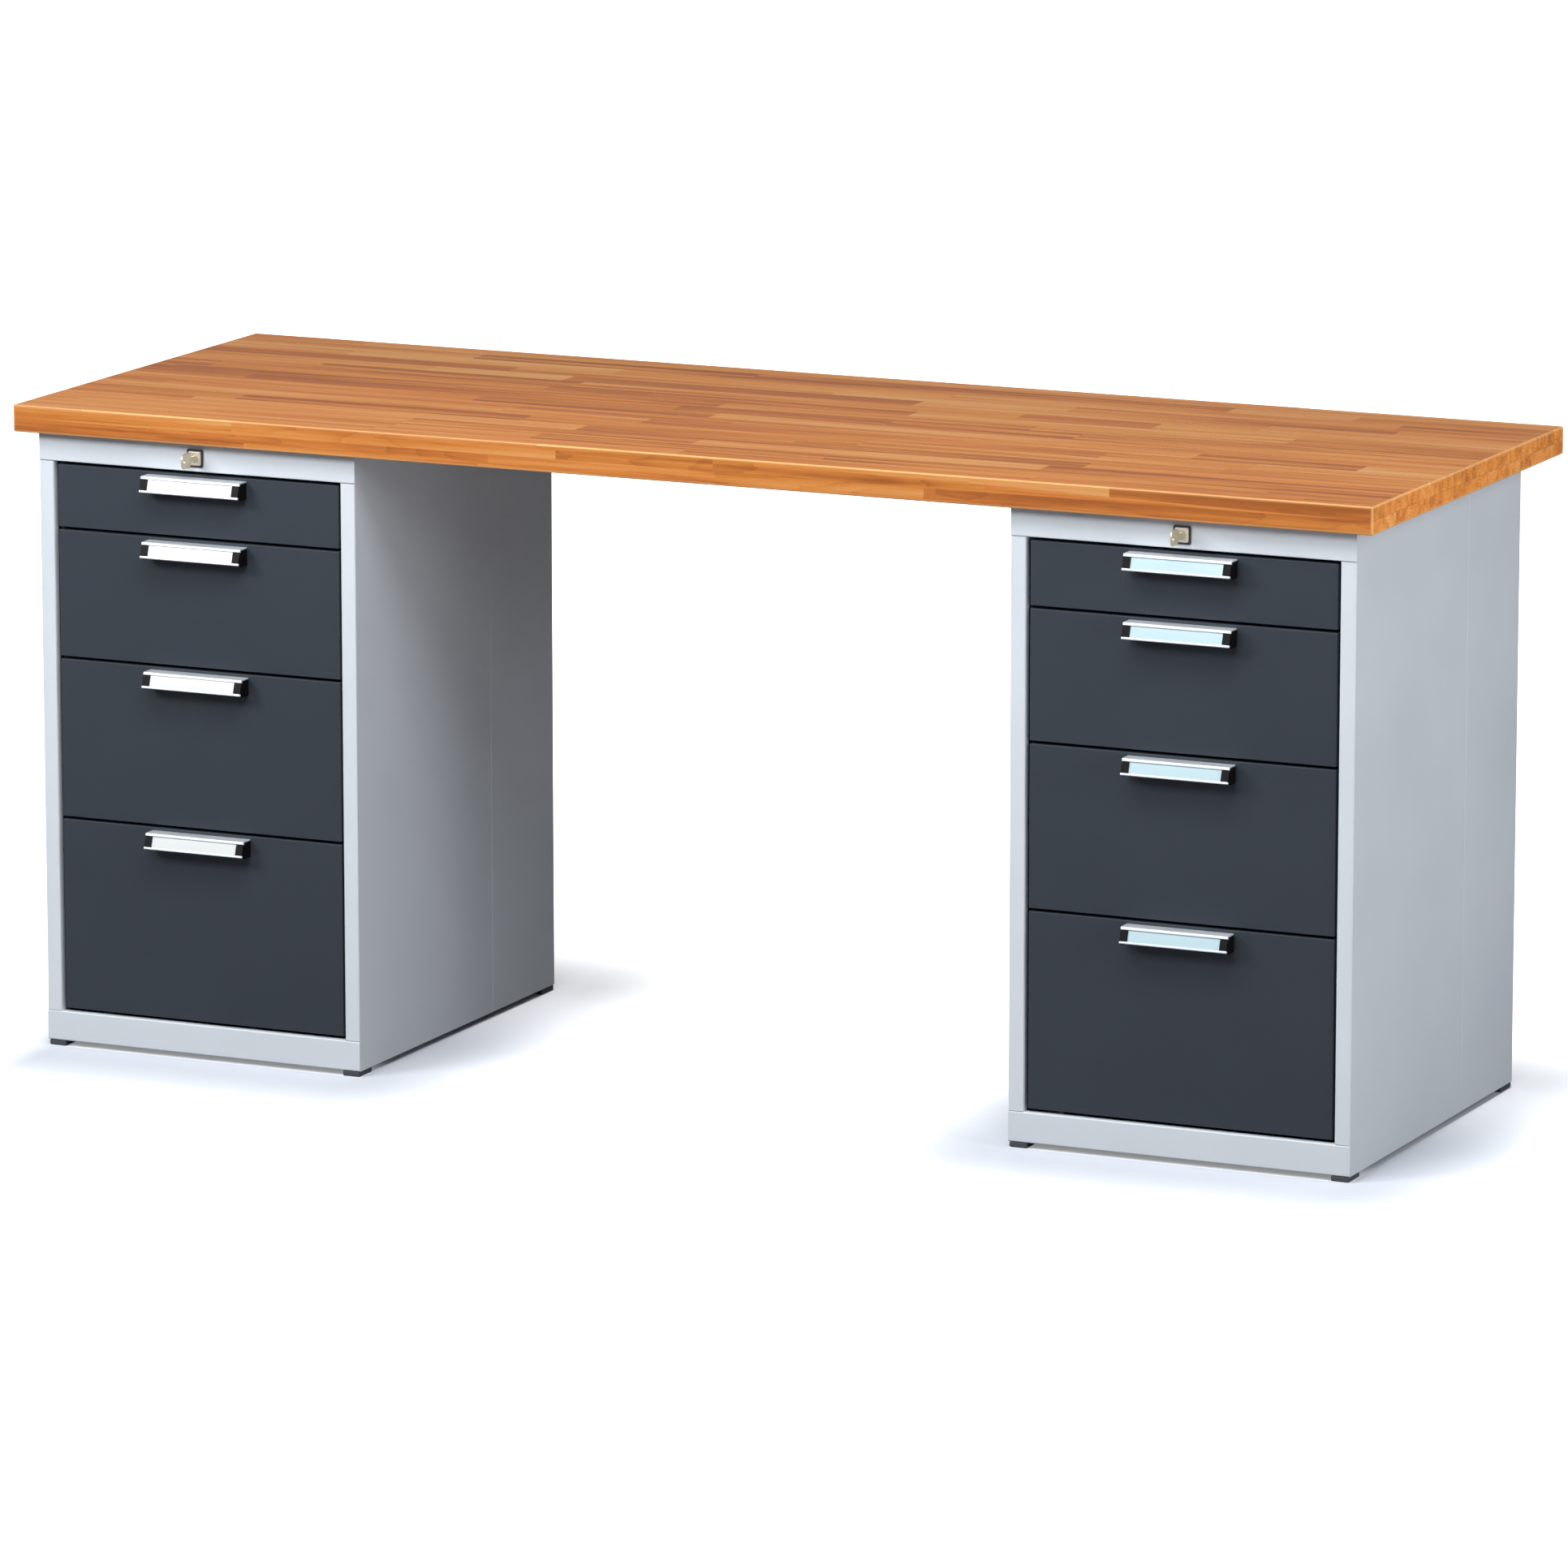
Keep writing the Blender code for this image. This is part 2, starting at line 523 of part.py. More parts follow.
for tag, cx in (("left", -PED_X), ("right", PED_X)):
    at = (cx, 0.0, 0.0)
    ped = empty("pedestal_" + tag, at)
    place(tag + "_side_panel_a", SIDE[-1], "light_grey_paint", ped, at)
    place(tag + "_side_panel_b", SIDE[1], "light_grey_paint", ped, at)
    place(tag + "_rear_shell", REAR_SHELL, "light_grey_paint", ped, at)
    place(tag + "_top_frame", TOP_FRAME, "light_grey_paint", ped, at)
    place(tag + "_base_tray", BASE, "light_grey_paint", ped, at)
    place(tag + "_runner_cage", CAGE, "zinc_steel", ped, at)
    place(tag + "_lock_barrel", BARREL, "nickel", ped, at)
    for row, y in (("front", FRONT + 0.0012 + FOOT[1] / 2), ("rear", REAR - 0.0012 - FOOT[1] / 2)):
        for col, s in (("a", -1), ("b", 1)):
            x = s * (HALF_W - 0.0012 - FOOT[0] / 2)
            place(f"{tag}_foot_{row}_{col}", FOOT_MESH, "foot_plastic", ped, (cx + x, y, 0.0))

    key = empty(tag + "_lock_axis", (cx, FRONT, LOCK_Z))
    place(tag + "_key_and_plug", KEY, "key_steel", key, (cx, 0.0, LOCK_Z))
    bar = empty(tag + "_bar_slide", (cx + STRIP_X, BAR_Y0, LOCK_Z))
    place(tag + "_locking_bar", BAR, "zinc_steel", bar, at)

    for i, (lo, hi) in enumerate(FACES):
        n = f"{tag}_drawer_{i + 1}"
        run = empty(n + "_slide", (cx, FACE, lo + 0.008 + SLIDE_Z))
        place(n + "_tray", TRAYS[i], "tray_paint", run, at)
        place(n + "_front", FRONTS[i], "anthracite_paint", run, (cx, FACE, lo))
        place(n + "_handle_profile", PROFILE, "aluminium", run, (cx, FACE, hi - HANDLE_DROP))
        place(n + "_handle_grip", GRIP, "black_plastic", run, (cx, FACE, hi - HANDLE_DROP))

for me in [m for m in bpy.data.meshes if not m.users]:
    bpy.data.meshes.remove(me)
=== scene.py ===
"""Looks of the workbench with drawers: materials, small parts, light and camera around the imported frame."""
import math

import bpy
import bmesh
from mathutils import Matrix, Vector


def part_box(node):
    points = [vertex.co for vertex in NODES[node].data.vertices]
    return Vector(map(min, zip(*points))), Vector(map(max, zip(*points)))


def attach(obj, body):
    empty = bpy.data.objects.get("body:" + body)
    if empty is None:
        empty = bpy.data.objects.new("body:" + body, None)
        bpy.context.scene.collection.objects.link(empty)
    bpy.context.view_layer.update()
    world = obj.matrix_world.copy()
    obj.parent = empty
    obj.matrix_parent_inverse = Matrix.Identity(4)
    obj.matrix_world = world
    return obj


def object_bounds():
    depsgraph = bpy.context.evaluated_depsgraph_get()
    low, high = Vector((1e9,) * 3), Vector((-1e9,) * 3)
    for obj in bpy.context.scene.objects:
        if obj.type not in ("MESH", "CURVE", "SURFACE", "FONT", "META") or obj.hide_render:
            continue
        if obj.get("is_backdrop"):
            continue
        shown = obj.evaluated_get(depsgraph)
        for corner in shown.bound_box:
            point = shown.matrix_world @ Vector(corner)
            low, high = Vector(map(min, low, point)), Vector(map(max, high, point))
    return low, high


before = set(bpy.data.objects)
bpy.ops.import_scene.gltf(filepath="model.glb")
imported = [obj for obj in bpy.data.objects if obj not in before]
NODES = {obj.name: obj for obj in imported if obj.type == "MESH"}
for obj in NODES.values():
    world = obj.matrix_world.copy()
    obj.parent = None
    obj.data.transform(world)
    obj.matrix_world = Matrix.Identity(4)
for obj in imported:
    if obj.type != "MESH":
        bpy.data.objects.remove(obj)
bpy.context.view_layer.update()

scene = bpy.context.scene
TAGS = (("left", -1), ("right", 1))

TOP_LO, TOP_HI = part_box("worktop")


# ------------------------------------------------------------------ node helpers
def lin(r, g, b):
    """8-bit screen colour to linear."""
    def f(v):
        v /= 255.0
        return v / 12.92 if v <= 0.04045 else ((v + 0.055) / 1.055) ** 2.4
    return (f(r), f(g), f(b), 1.0)


class Mat:
    """A material's node tree with short ways to add and link nodes."""

    def __init__(self, name):
        self.mat = bpy.data.materials.new(name)
        self.mat.use_nodes = True
        self.t = self.mat.node_tree
        self.t.nodes.clear()
        self.out = self.t.nodes.new("ShaderNodeOutputMaterial")
        self.b = self.t.nodes.new("ShaderNodeBsdfPrincipled")
        self.t.links.new(self.b.outputs[0], self.out.inputs["Surface"])
        tc = self.t.nodes.new("ShaderNodeTexCoord")
        self.P = tc.outputs["Object"]
        self.N = tc.outputs["Normal"]

    def put(self, sock, value):
        if isinstance(value, bpy.types.NodeSocket):
            self.t.links.new(value, sock)
        elif value is not None:
            sock.default_value = value

    def math(self, op, a, b=None, c=None, clamp=False):
        n = self.t.nodes.new("ShaderNodeMath")
        n.operation = op
        n.use_clamp = clamp
        for s, v in zip(n.inputs, (a, b, c)):
            self.put(s, v)
        return n.outputs[0]

    def vmath(self, op, a, b=None, scale=None):
        n = self.t.nodes.new("ShaderNodeVectorMath")
        n.operation = op
        self.put(n.inputs[0], a)
        if b is not None:
            self.put(n.inputs[1], b)
        if scale is not None:
            self.put(n.inputs["Scale"], scale)
        return n.outputs["Value"] if op in ("LENGTH", "DOT_PRODUCT", "DISTANCE") else n.outputs["Vector"]

    def xyz(self, v):
        n = self.t.nodes.new("ShaderNodeSeparateXYZ")
        self.put(n.inputs[0], v)
        return n.outputs

    def vec(self, x, y, z):
        n = self.t.nodes.new("ShaderNodeCombineXYZ")
        for s, v in zip(n.inputs, (x, y, z)):
            self.put(s, v)
        return n.outputs[0]

    def noise(self, v, scale=1.0, detail=3.0, rough=0.55, distort=0.0, out=0):
        n = self.t.nodes.new("ShaderNodeTexNoise")
        self.put(n.inputs["Vector"], v)
        n.inputs["Scale"].default_value = scale
        n.inputs["Detail"].default_value = detail
        n.inputs["Roughness"].default_value = rough
        n.inputs["Distortion"].default_value = distort
        return n.outputs[out]

    def white(self, v):
        """(value, colour) white noise of a vector."""
        n = self.t.nodes.new("ShaderNodeTexWhiteNoise")
        n.noise_dimensions = "3D"
        self.put(n.inputs["Vector"], v)
        return n.outputs["Value"], n.outputs["Color"]

    def voronoi(self, v, scale=1.0, feature="F1", rand=1.0):
        n = self.t.nodes.new("ShaderNodeTexVoronoi")
        n.feature = feature
        self.put(n.inputs["Vector"], v)
        n.inputs["Scale"].default_value = scale
        n.inputs["Randomness"].default_value = rand
        return n.outputs

    def ramp(self, fac, stops, interp="LINEAR"):
        n = self.t.nodes.new("ShaderNodeValToRGB")
        n.color_ramp.interpolation = interp
        el = n.color_ramp.elements
        while len(el) < len(stops):
            el.new(0.5)
        for e, (p, c) in zip(el, stops):
            e.position = p
            e.color = c if hasattr(c, "__len__") else (c, c, c, 1.0)
        self.put(n.inputs[0], fac)
        return n.outputs[0]

    def remap(self, v, a, b, c, d, kind="LINEAR"):
        n = self.t.nodes.new("ShaderNodeMapRange")
        n.interpolation_type = kind
        n.clamp = True
        for s, x in zip(n.inputs, (v, a, b, c, d)):
            self.put(s, x)
        return n.outputs[0]

    def mix(self, fac, a, b, blend="MIX"):
        n = self.t.nodes.new("ShaderNodeMix")
        n.data_type = "RGBA"
        n.blend_type = blend
        n.clamp_factor = True
        self.put(n.inputs[0], fac)
        self.put(n.inputs[6], a)
        self.put(n.inputs[7], b)
        return n.outputs[2]

    def bump(self, height, strength, distance, normal=None):
        n = self.t.nodes.new("ShaderNodeBump")
        n.inputs["Strength"].default_value = strength
        n.inputs["Distance"].default_value = distance
        self.put(n.inputs["Height"], height)
        if normal is not None:
            self.put(n.inputs["Normal"], normal)
        return n.outputs[0]

    def set(self, **kw):
        names = {"color": "Base Color", "rough": "Roughness", "metal": "Metallic", "ior": "IOR",
                 "normal": "Normal", "coat": "Coat Weight", "coat_rough": "Coat Roughness",
                 "aniso": "Anisotropic", "spec": "Specular IOR Level", "emit": "Emission Color",
                 "emit_k": "Emission Strength", "trans": "Transmission Weight", "alpha": "Alpha",
                 "sss": "Subsurface Weight"}
        for k, v in kw.items():
            self.put(self.b.inputs[names[k]], v)
        return self.mat


# ------------------------------------------------------------------ materials
def wood():
    """Edge-glued hardwood staves along X, in strips across Y and two layers in Z."""
    m = Mat("wood_staves")
    x, y, z = m.xyz(m.P)
    strip = (TOP_HI.y - TOP_LO.y) / 17
    layer = (TOP_HI.z - TOP_LO.z) / 2
    v = m.math("DIVIDE", m.math("SUBTRACT", y, TOP_LO.y), strip)
    yi = m.math("FLOOR", v)
    w = m.math("DIVIDE", m.math("SUBTRACT", z, TOP_LO.z), layer)
    zi = m.math("FLOOR", w)
    row, _ = m.white(m.vec(yi, zi, 3.7))
    # staves of uneven length, staggered from strip to strip
    long = 0.46
    u = m.math("ADD", m.math("DIVIDE", x, long), m.math("MULTIPLY", row, 7.0))
    near = m.math("ROUND", u)
    jit, _ = m.white(m.vec(near, yi, m.math("ADD", zi, 11.0)))
    edge = m.math("ADD", near, m.math("MULTIPLY", m.math("SUBTRACT", jit, 0.5), 0.78))
    cell = m.math("SUBTRACT", near, m.math("LESS_THAN", u, edge))
    tone, rgb = m.white(m.vec(cell, yi, m.math("ADD", zi, 5.0)))
    r1, r2, r3 = m.xyz(rgb)
    shift = m.vmath("SCALE", rgb, scale=40.0)

    # growth rings round a pith line that differs for each stave
    cy = m.math("ADD", m.math("MULTIPLY", m.math("ADD", yi, r1), strip), TOP_LO.y - 0.02)
    wander = m.noise(m.vmath("ADD", m.vec(m.math("MULTIPLY", x, 2.2), yi, zi), shift), 1.0, 2.0, 0.5)
    cy = m.math("ADD", cy, m.math("MULTIPLY", m.math("SUBTRACT", wander, 0.5), 0.05))
    cz = m.math("ADD", m.math("MULTIPLY", r2, 0.11), TOP_LO.z - 0.06)
    dy, dz = m.math("SUBTRACT", y, cy), m.math("SUBTRACT", z, cz)
    dist = m.math("SQRT", m.math("ADD", m.math("MULTIPLY", dy, dy), m.math("MULTIPLY", dz, dz)))
    wob = m.noise(m.vmath("ADD", m.vmath("MULTIPLY", m.P, (7.0, 60.0, 60.0)), shift), 1.0, 3.0, 0.6)
    dist = m.math("ADD", dist, m.math("MULTIPLY", wob, 0.006))
    ring = m.math("FRACT", m.math("MULTIPLY", dist, 210.0))
    late = m.math("POWER", ring, 3.0)

    # streaks and fibres along the stave
    streak = m.noise(m.vmath("ADD", m.vmath("MULTIPLY", m.P, (1.7, 62.0, 62.0)), shift), 1.0, 4.0, 0.62)
    broad = m.noise(m.vmath("ADD", m.vmath("MULTIPLY", m.P, (1.1, 17.0, 17.0)), shift), 1.0, 2.0, 0.5)
    fibre = m.noise(m.vmath("ADD", m.vmath("MULTIPLY", m.P, (28.0, 1500.0, 1500.0)), shift), 1.0, 2.0, 0.6)
    pore = m.voronoi(m.vmath("ADD", m.vmath("MULTIPLY", m.P, (150.0, 1300.0, 1300.0)), shift), 1.0)[0]
    pore = m.remap(pore, 0.12, 0.30, 1.0, 0.0)

    nx, ny, nz = m.xyz(m.N)
    end = m.math("ABSOLUTE", nx)
    swing = m.remap(end, 0.3, 0.8, 0.66, 0.26)
    k = m.math("ADD", m.math("MULTIPLY", m.math("SUBTRACT", tone, 0.5), swing), 0.52)
    k = m.math("ADD", k, m.math("MULTIPLY", m.math("SUBTRACT", streak, 0.5), 2.3))
    k = m.math("ADD", k, m.math("MULTIPLY", m.math("SUBTRACT", broad, 0.5), 0.85))
    k = m.math("ADD", k, m.math("MULTIPLY", m.math("SUBTRACT", fibre, 0.5), 0.40))
    k = m.math("SUBTRACT", k, m.math("MULTIPLY", late, m.remap(end, 0.3, 0.8, 0.20, 0.34)))
    col = m.ramp(k, [(0.0, lin(150, 78, 22)), (0.24, lin(200, 115, 40)), (0.50, lin(236, 150, 62)),
                     (0.76, lin(251, 172, 90)), (1.0, lin(254, 196, 124))])
    # some staves are redder, some yellower
    col = m.mix(m.math("MULTIPLY", r3, 0.30), col, lin(240, 132, 60), "MIX")
    col = m.mix(m.math("MULTIPLY", r2, 0.08), col, lin(228, 164, 72), "MIX")
    # painted shade: the long front and back faces are darkened by their direction, standing in for less light on them
    # than on the top
    col = m.mix(m.math("MULTIPLY", m.math("ABSOLUTE", ny), 0.15), col, (0.10, 0.032, 0.008, 1.0))
    # painted light: the end faces are lightened by their direction, standing in for more light on them than on the long
    # faces
    col = m.mix(m.math("MULTIPLY", end, 0.30), col, lin(246, 164, 92))
    # painted shade: faces that point down are darkened
    col = m.mix(m.remap(nz, -0.3, -0.8, 0.0, 0.40), col, (0.12, 0.045, 0.014, 1.0))
    # painted highlight: a pale line along every edge of the top, made uneven by the streaks, stands in for light caught
    # on a rounded arris
    ex = m.math("MINIMUM", m.math("SUBTRACT", x, TOP_LO.x), m.math("SUBTRACT", TOP_HI.x, x))
    ey = m.math("MINIMUM", m.math("SUBTRACT", y, TOP_LO.y), m.math("SUBTRACT", TOP_HI.y, y))
    ez = m.math("MINIMUM", m.math("SUBTRACT", z, TOP_LO.z), m.math("SUBTRACT", TOP_HI.z, z))
    arris = m.math("MINIMUM", m.math("MINIMUM", m.math("ADD", ex, ez), m.math("ADD", ey, ez)), m.math("ADD", ex, ey))
    painted_edge_highlight = m.remap(m.math("ADD", arris, m.math("MULTIPLY", m.math("SUBTRACT", streak, 0.5), 0.002)), 0.0018, 0.0040, 1.0, 0.0)
    col = m.mix(m.math("MULTIPLY", painted_edge_highlight, 0.42), col, lin(255, 204, 140))
    col = m.mix(m.math("MULTIPLY", pore, 0.22), col, lin(120, 62, 28))
    # glue lines and butt joints
    fv = m.math("FRACT", v)
    gy = m.math("MULTIPLY", m.math("MINIMUM", fv, m.math("SUBTRACT", 1.0, fv)), strip)
    gx = m.math("MULTIPLY", m.math("ABSOLUTE", m.math("SUBTRACT", u, edge)), long)
    fw = m.math("FRACT", w)
    gz = m.math("MULTIPLY", m.math("MINIMUM", fw, m.math("SUBTRACT", 1.0, fw)), layer)
    gap = m.math("MINIMUM", m.math("MINIMUM", gx, gy), gz)
    line = m.remap(gap, 0.00012, 0.00045, 1.0, 0.0)
    col = m.mix(m.math("MULTIPLY", line, 0.38), col, lin(120, 66, 32))
    rough = m.remap(m.math("ADD", m.math("MULTIPLY", streak, 0.6), m.math("MULTIPLY", fibre, 0.4)), 0.2, 0.8, 0.36, 0.52)
    h = m.math("SUBTRACT", m.math("MULTIPLY", fibre, 0.5), m.math("ADD", m.math("MULTIPLY", pore, 0.5),
                                                                 m.math("MULTIPLY", line, 0.8)))
    nrm = m.bump(h, 0.30, 0.00025)
    return m.set(color=col, rough=rough, normal=nrm, spec=0.36)


def paint(name, rgb, rough=0.42, var=0.05, peel=0.10, spec=0.5):
    """Powder coat: fine orange peel, faint variation in tone and gloss."""
    m = Mat(name)
    peel_h = m.noise(m.P, 620.0, 2.0, 0.5)
    grain = m.noise(m.P, 2400.0, 1.0, 0.5)
    cloud = m.noise(m.P, 5.0, 3.0, 0.5)
    base = lin(*rgb)
    dark = tuple(c * (1 - var) for c in base[:3]) + (1.0,)
    light = tuple(min(1.0, c * (1 + var)) for c in base[:3]) + (1.0,)
    f = m.math("ADD", m.math("MULTIPLY", cloud, 0.55), m.math("MULTIPLY", grain, 0.45))
    col = m.ramp(f, [(0.30, dark), (0.70, light)])
    r = m.remap(m.math("ADD", m.math("MULTIPLY", cloud, 0.5), m.math("MULTIPLY", peel_h, 0.5)), 0.25, 0.75,
                rough - 0.05, rough + 0.06)
    n = m.bump(peel_h, peel, 0.00035)
    n = m.bump(grain, peel * 0.8, 0.00012, n)
    return m.set(color=col, rough=r, normal=n, ior=1.5, spec=spec)


def metal(name, rgb, rough, stretch=(1.0, 1.0, 1.0), scale=600.0, var=0.05, aniso=0.0, bump=0.05, metallic=1.0):
    """Metal with fine lines along one axis, or an even fine grain."""
    m = Mat(name)
    v = m.vmath("MULTIPLY", m.P, stretch)
    line = m.noise(v, scale, 3.0, 0.6)
    cloud = m.noise(m.P, 45.0, 3.0, 0.6)
    base = lin(*rgb)
    dark = tuple(c * (1 - var) for c in base[:3]) + (1.0,)
    light = tuple(min(1.0, c * (1 + var)) for c in base[:3]) + (1.0,)
    col = m.ramp(m.math("ADD", m.math("MULTIPLY", line, 0.6), m.math("MULTIPLY", cloud, 0.4)), [(0.3, dark), (0.7, light)])
    r = m.remap(m.math("ADD", m.math("MULTIPLY", line, 0.5), m.math("MULTIPLY", cloud, 0.5)), 0.25, 0.75,
                max(0.05, rough - 0.07), rough + 0.08)
    return m.set(color=col, rough=r, normal=m.bump(line, bump, 0.0002), metal=metallic, aniso=aniso)


def zinc():
    """Bright zinc: spangle cells, faint streaks."""
    m = Mat("zinc_plate")
    cells = m.voronoi(m.P, 170.0)
    tone = m.xyz(cells[1])[0]
    fine = m.noise(m.P, 900.0, 2.0, 0.6)
    f = m.math("ADD", m.math("MULTIPLY", tone, 0.5), m.math("MULTIPLY", fine, 0.5))
    col = m.ramp(f, [(0.2, lin(168, 172, 178)), (0.8, lin(205, 208, 212))])
    r = m.remap(f, 0.2, 0.8, 0.28, 0.46)
    return m.set(color=col, rough=r, metal=1.0, normal=m.bump(fine, 0.06, 0.0002))


def plastic(name, rgb, rough=0.48, scale=1500.0, bump=0.12, var=0.10, spec=0.5):
    """Moulded plastic with a fine spark-eroded grain."""
    m = Mat(name)
    g = m.noise(m.P, scale, 2.0, 0.55)
    cloud = m.noise(m.P, 30.0, 2.0, 0.5)
    base = lin(*rgb)
    dark = tuple(c * (1 - var) for c in base[:3]) + (1.0,)
    light = tuple(min(1.0, c * (1 + var)) for c in base[:3]) + (1.0,)
    col = m.ramp(m.math("ADD", m.math("MULTIPLY", g, 0.5), m.math("MULTIPLY", cloud, 0.5)), [(0.3, dark), (0.7, light)])
    return m.set(color=col, rough=m.remap(g, 0.3, 0.7, rough - 0.06, rough + 0.08), normal=m.bump(g, bump, 0.0002),
                 spec=spec)


def card(name, rgb):
    """Label card behind a clear cover: fine paper grain under a gloss coat."""
    m = Mat(name)
    f = m.noise(m.vmath("MULTIPLY", m.P, (1.0, 1.0, 2.4)), 1400.0, 3.0, 0.6)
    base = lin(*rgb)
    dark = tuple(c * 0.975 for c in base[:3]) + (1.0,)
    col = m.ramp(f, [(0.3, dark), (0.7, base)])
    return m.set(color=col, rough=m.remap(f, 0.3, 0.7, 0.38, 0.5), normal=m.bump(f, 0.04, 0.0001), coat=0.6, coat_rough=0.12)


WOOD = wood()
CARCASS = paint("carcass_light_grey", (206, 213, 221))
DRAWER = paint("drawer_anthracite", (49, 55, 64), rough=0.50, var=0.05, spec=0.3)
TRAY = paint("tray_light_grey", (196, 202, 208), rough=0.45)
ZINC = zinc()
ALU = metal("aluminium_anodised", (206, 212, 218), 0.46, stretch=(0.02, 1.0, 1.0), scale=2600.0, aniso=0.3, metallic=0.45)
BLACK = plastic("grip_black", (11, 10, 13), spec=0.12)
FOOTP = plastic("foot_dark_grey", (62, 66, 74), rough=0.6)
NYLON = plastic("roller_nylon", (222, 222, 214), rough=0.4, bump=0.06)
NICKEL = metal("nickel_plated", (250, 243, 228), 0.34, stretch=(1.0, 1.0, 1.0), scale=900.0, var=0.04, bump=0.03, metallic=0.75)
KEYM = metal("key_nickel_silver", (226, 216, 190), 0.36, stretch=(1.0, 0.05, 1.0), scale=2200.0, var=0.10, bump=0.08, metallic=0.8)
# dark plate round the lock face, its width and darkness partly a painted shadow
DARKP = plastic("escutcheon_dark_painted_shadow", (52, 50, 48), rough=0.42)
SCREW = metal("screw_zinc", (190, 192, 196), 0.28, scale=1200.0)
LABEL = {"left": card("label_card_white", (208, 213, 214)), "right": card("label_card_pale_blue", (180, 206, 215))}


# ------------------------------------------------------------------ CAD pieces
def dress(name, mats, edge=0.0, pick=None, seg=2, angle=30.0):
    """Give a CAD node its materials and soft edges; pick(centre, normal) chooses the slot of a face."""
    ob = NODES[name]
    me = ob.data
    me.materials.clear()
    for mat in mats:
        me.materials.append(mat)
    for p in me.polygons:
        p.material_index = pick(p.center, p.normal) if pick else 0
        p.use_smooth = True
    for a in ("custom_normal", "sharp_edge", "sharp_face"):
        if a in me.attributes:
            me.attributes.remove(me.attributes[a])
    weld = ob.modifiers.new("weld", "WELD")
    weld.merge_threshold = 0.000004
    if edge:
        bev = ob.modifiers.new("soft_edges", "BEVEL")
        bev.width = edge
        bev.segments = seg
        bev.limit_method = "ANGLE"
        bev.angle_limit = math.radians(angle)
        bev.use_clamp_overlap = True
    wn = ob.modifiers.new("normals", "WEIGHTED_NORMAL")
    wn.weight = 60
    wn.keep_sharp = False
    return ob


dress("worktop", [WOOD], 0.0)
for tag, side in TAGS:
    for part in ("side_panel_a", "side_panel_b", "rear_shell", "top_frame", "base_tray"):
        dress(f"{tag}_{part}", [CARCASS], 0.00035)
    for row in ("front", "rear"):
        for col in "ab":
            dress(f"{tag}_foot_{row}_{col}", [FOOTP], 0.0005)
    lo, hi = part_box(f"{tag}_lock_barrel")

    def ring(c, n, lo=lo, hi=hi):
        """Dark surround: the thin plate behind the lock's square face; its dark colour is partly a painted shadow round
        the face.
        """
        mid = (lo + hi) / 2
        far = max(abs(c.x - mid.x), abs(c.z - mid.z))
        return 1 if far > 0.00965 and c.y < lo.y + 0.0068 else 0

    dress(f"{tag}_lock_barrel", [NICKEL, DARKP], 0.0004, ring)
    dress(f"{tag}_key_and_plug", [KEYM], 0.00025)
    dress(f"{tag}_locking_bar", [ZINC], 0.0002)
    cage_lo, cage_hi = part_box(f"{tag}_runner_cage")
    cx = (cage_lo.x + cage_hi.x) / 2
    trays = [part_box(f"{tag}_drawer_{i}_tray") for i in (1, 2, 3, 4)]
    FRONT_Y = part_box(f"{tag}_side_panel_a")[0].y
    ROLL_Y, ROLL_Z = FRONT_Y + 0.051, [t[0].z + 0.022 for t in trays]

    def fixed_roller(c, n, cx=cx, zs=ROLL_Z, y=ROLL_Y):
        """Fixed rollers of the cage are nylon, the rest of it zinc plated."""
        side_on = 0.2096 < abs(c.x - cx) < 0.2224
        return 1 if side_on and any(math.hypot(c.y - y, c.z - z) < 0.0125 for z in zs) else 0

    dress(f"{tag}_runner_cage", [ZINC, NYLON], 0.0, fixed_roller)
    for i, (t_lo, t_hi) in enumerate(trays, 1):
        n = f"{tag}_drawer_{i}"

        def tray_roller(c, n, cx=cx, z=t_lo.z + 0.022, y=FRONT_Y + 0.546):
            """Rear rollers of the tray are nylon, its channels zinc plated, the rest painted."""
            out = abs(c.x - cx)
            if out > 0.2079 and math.hypot(c.y - y, c.z - z) < 0.0143:
                return 1
            return 2 if out > 0.20785 else 0

        dress(n + "_front", [DRAWER], 0.0004)
        dress(n + "_tray", [TRAY, NYLON, ZINC], 0.0002, tray_roller)
        dress(n + "_handle_profile", [ALU], 0.0003)
        dress(n + "_handle_grip", [BLACK], 0.0003)


# ------------------------------------------------------------------ small parts
def new_piece(name, bm, mats, body, smooth=True, bevel=0.0):
    me = bpy.data.meshes.new(name)
    bmesh.ops.recalc_face_normals(bm, faces=bm.faces)
    bm.to_mesh(me)
    bm.free()
    for mat in mats:
        me.materials.append(mat)
    ob = bpy.data.objects.new(name, me)
    scene.collection.objects.link(ob)
    if smooth:
        me.shade_smooth()
    if bevel:
        b = ob.modifiers.new("soft_edges", "BEVEL")
        b.width = bevel
        b.segments = 2
        b.limit_method = "ANGLE"
        b.angle_limit = math.radians(30)
    w = ob.modifiers.new("normals", "WEIGHTED_NORMAL")
    w.weight = 60
    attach(ob, body)
    return ob


TILT = math.radians(18.0)


def on_slope(cx, face, top, x, s, m):
    """World point on the handle's sloping face: s down it, m behind it, in mm."""
    a = Vector((21.0, -0.6))
    u = Vector((math.sin(TILT), -math.cos(TILT)))
    n = Vector((math.cos(TILT), math.sin(TILT)))
    p = a + s * u - m * n
    return Vector((cx + x, face - p.x / 1000, top + p.y / 1000))


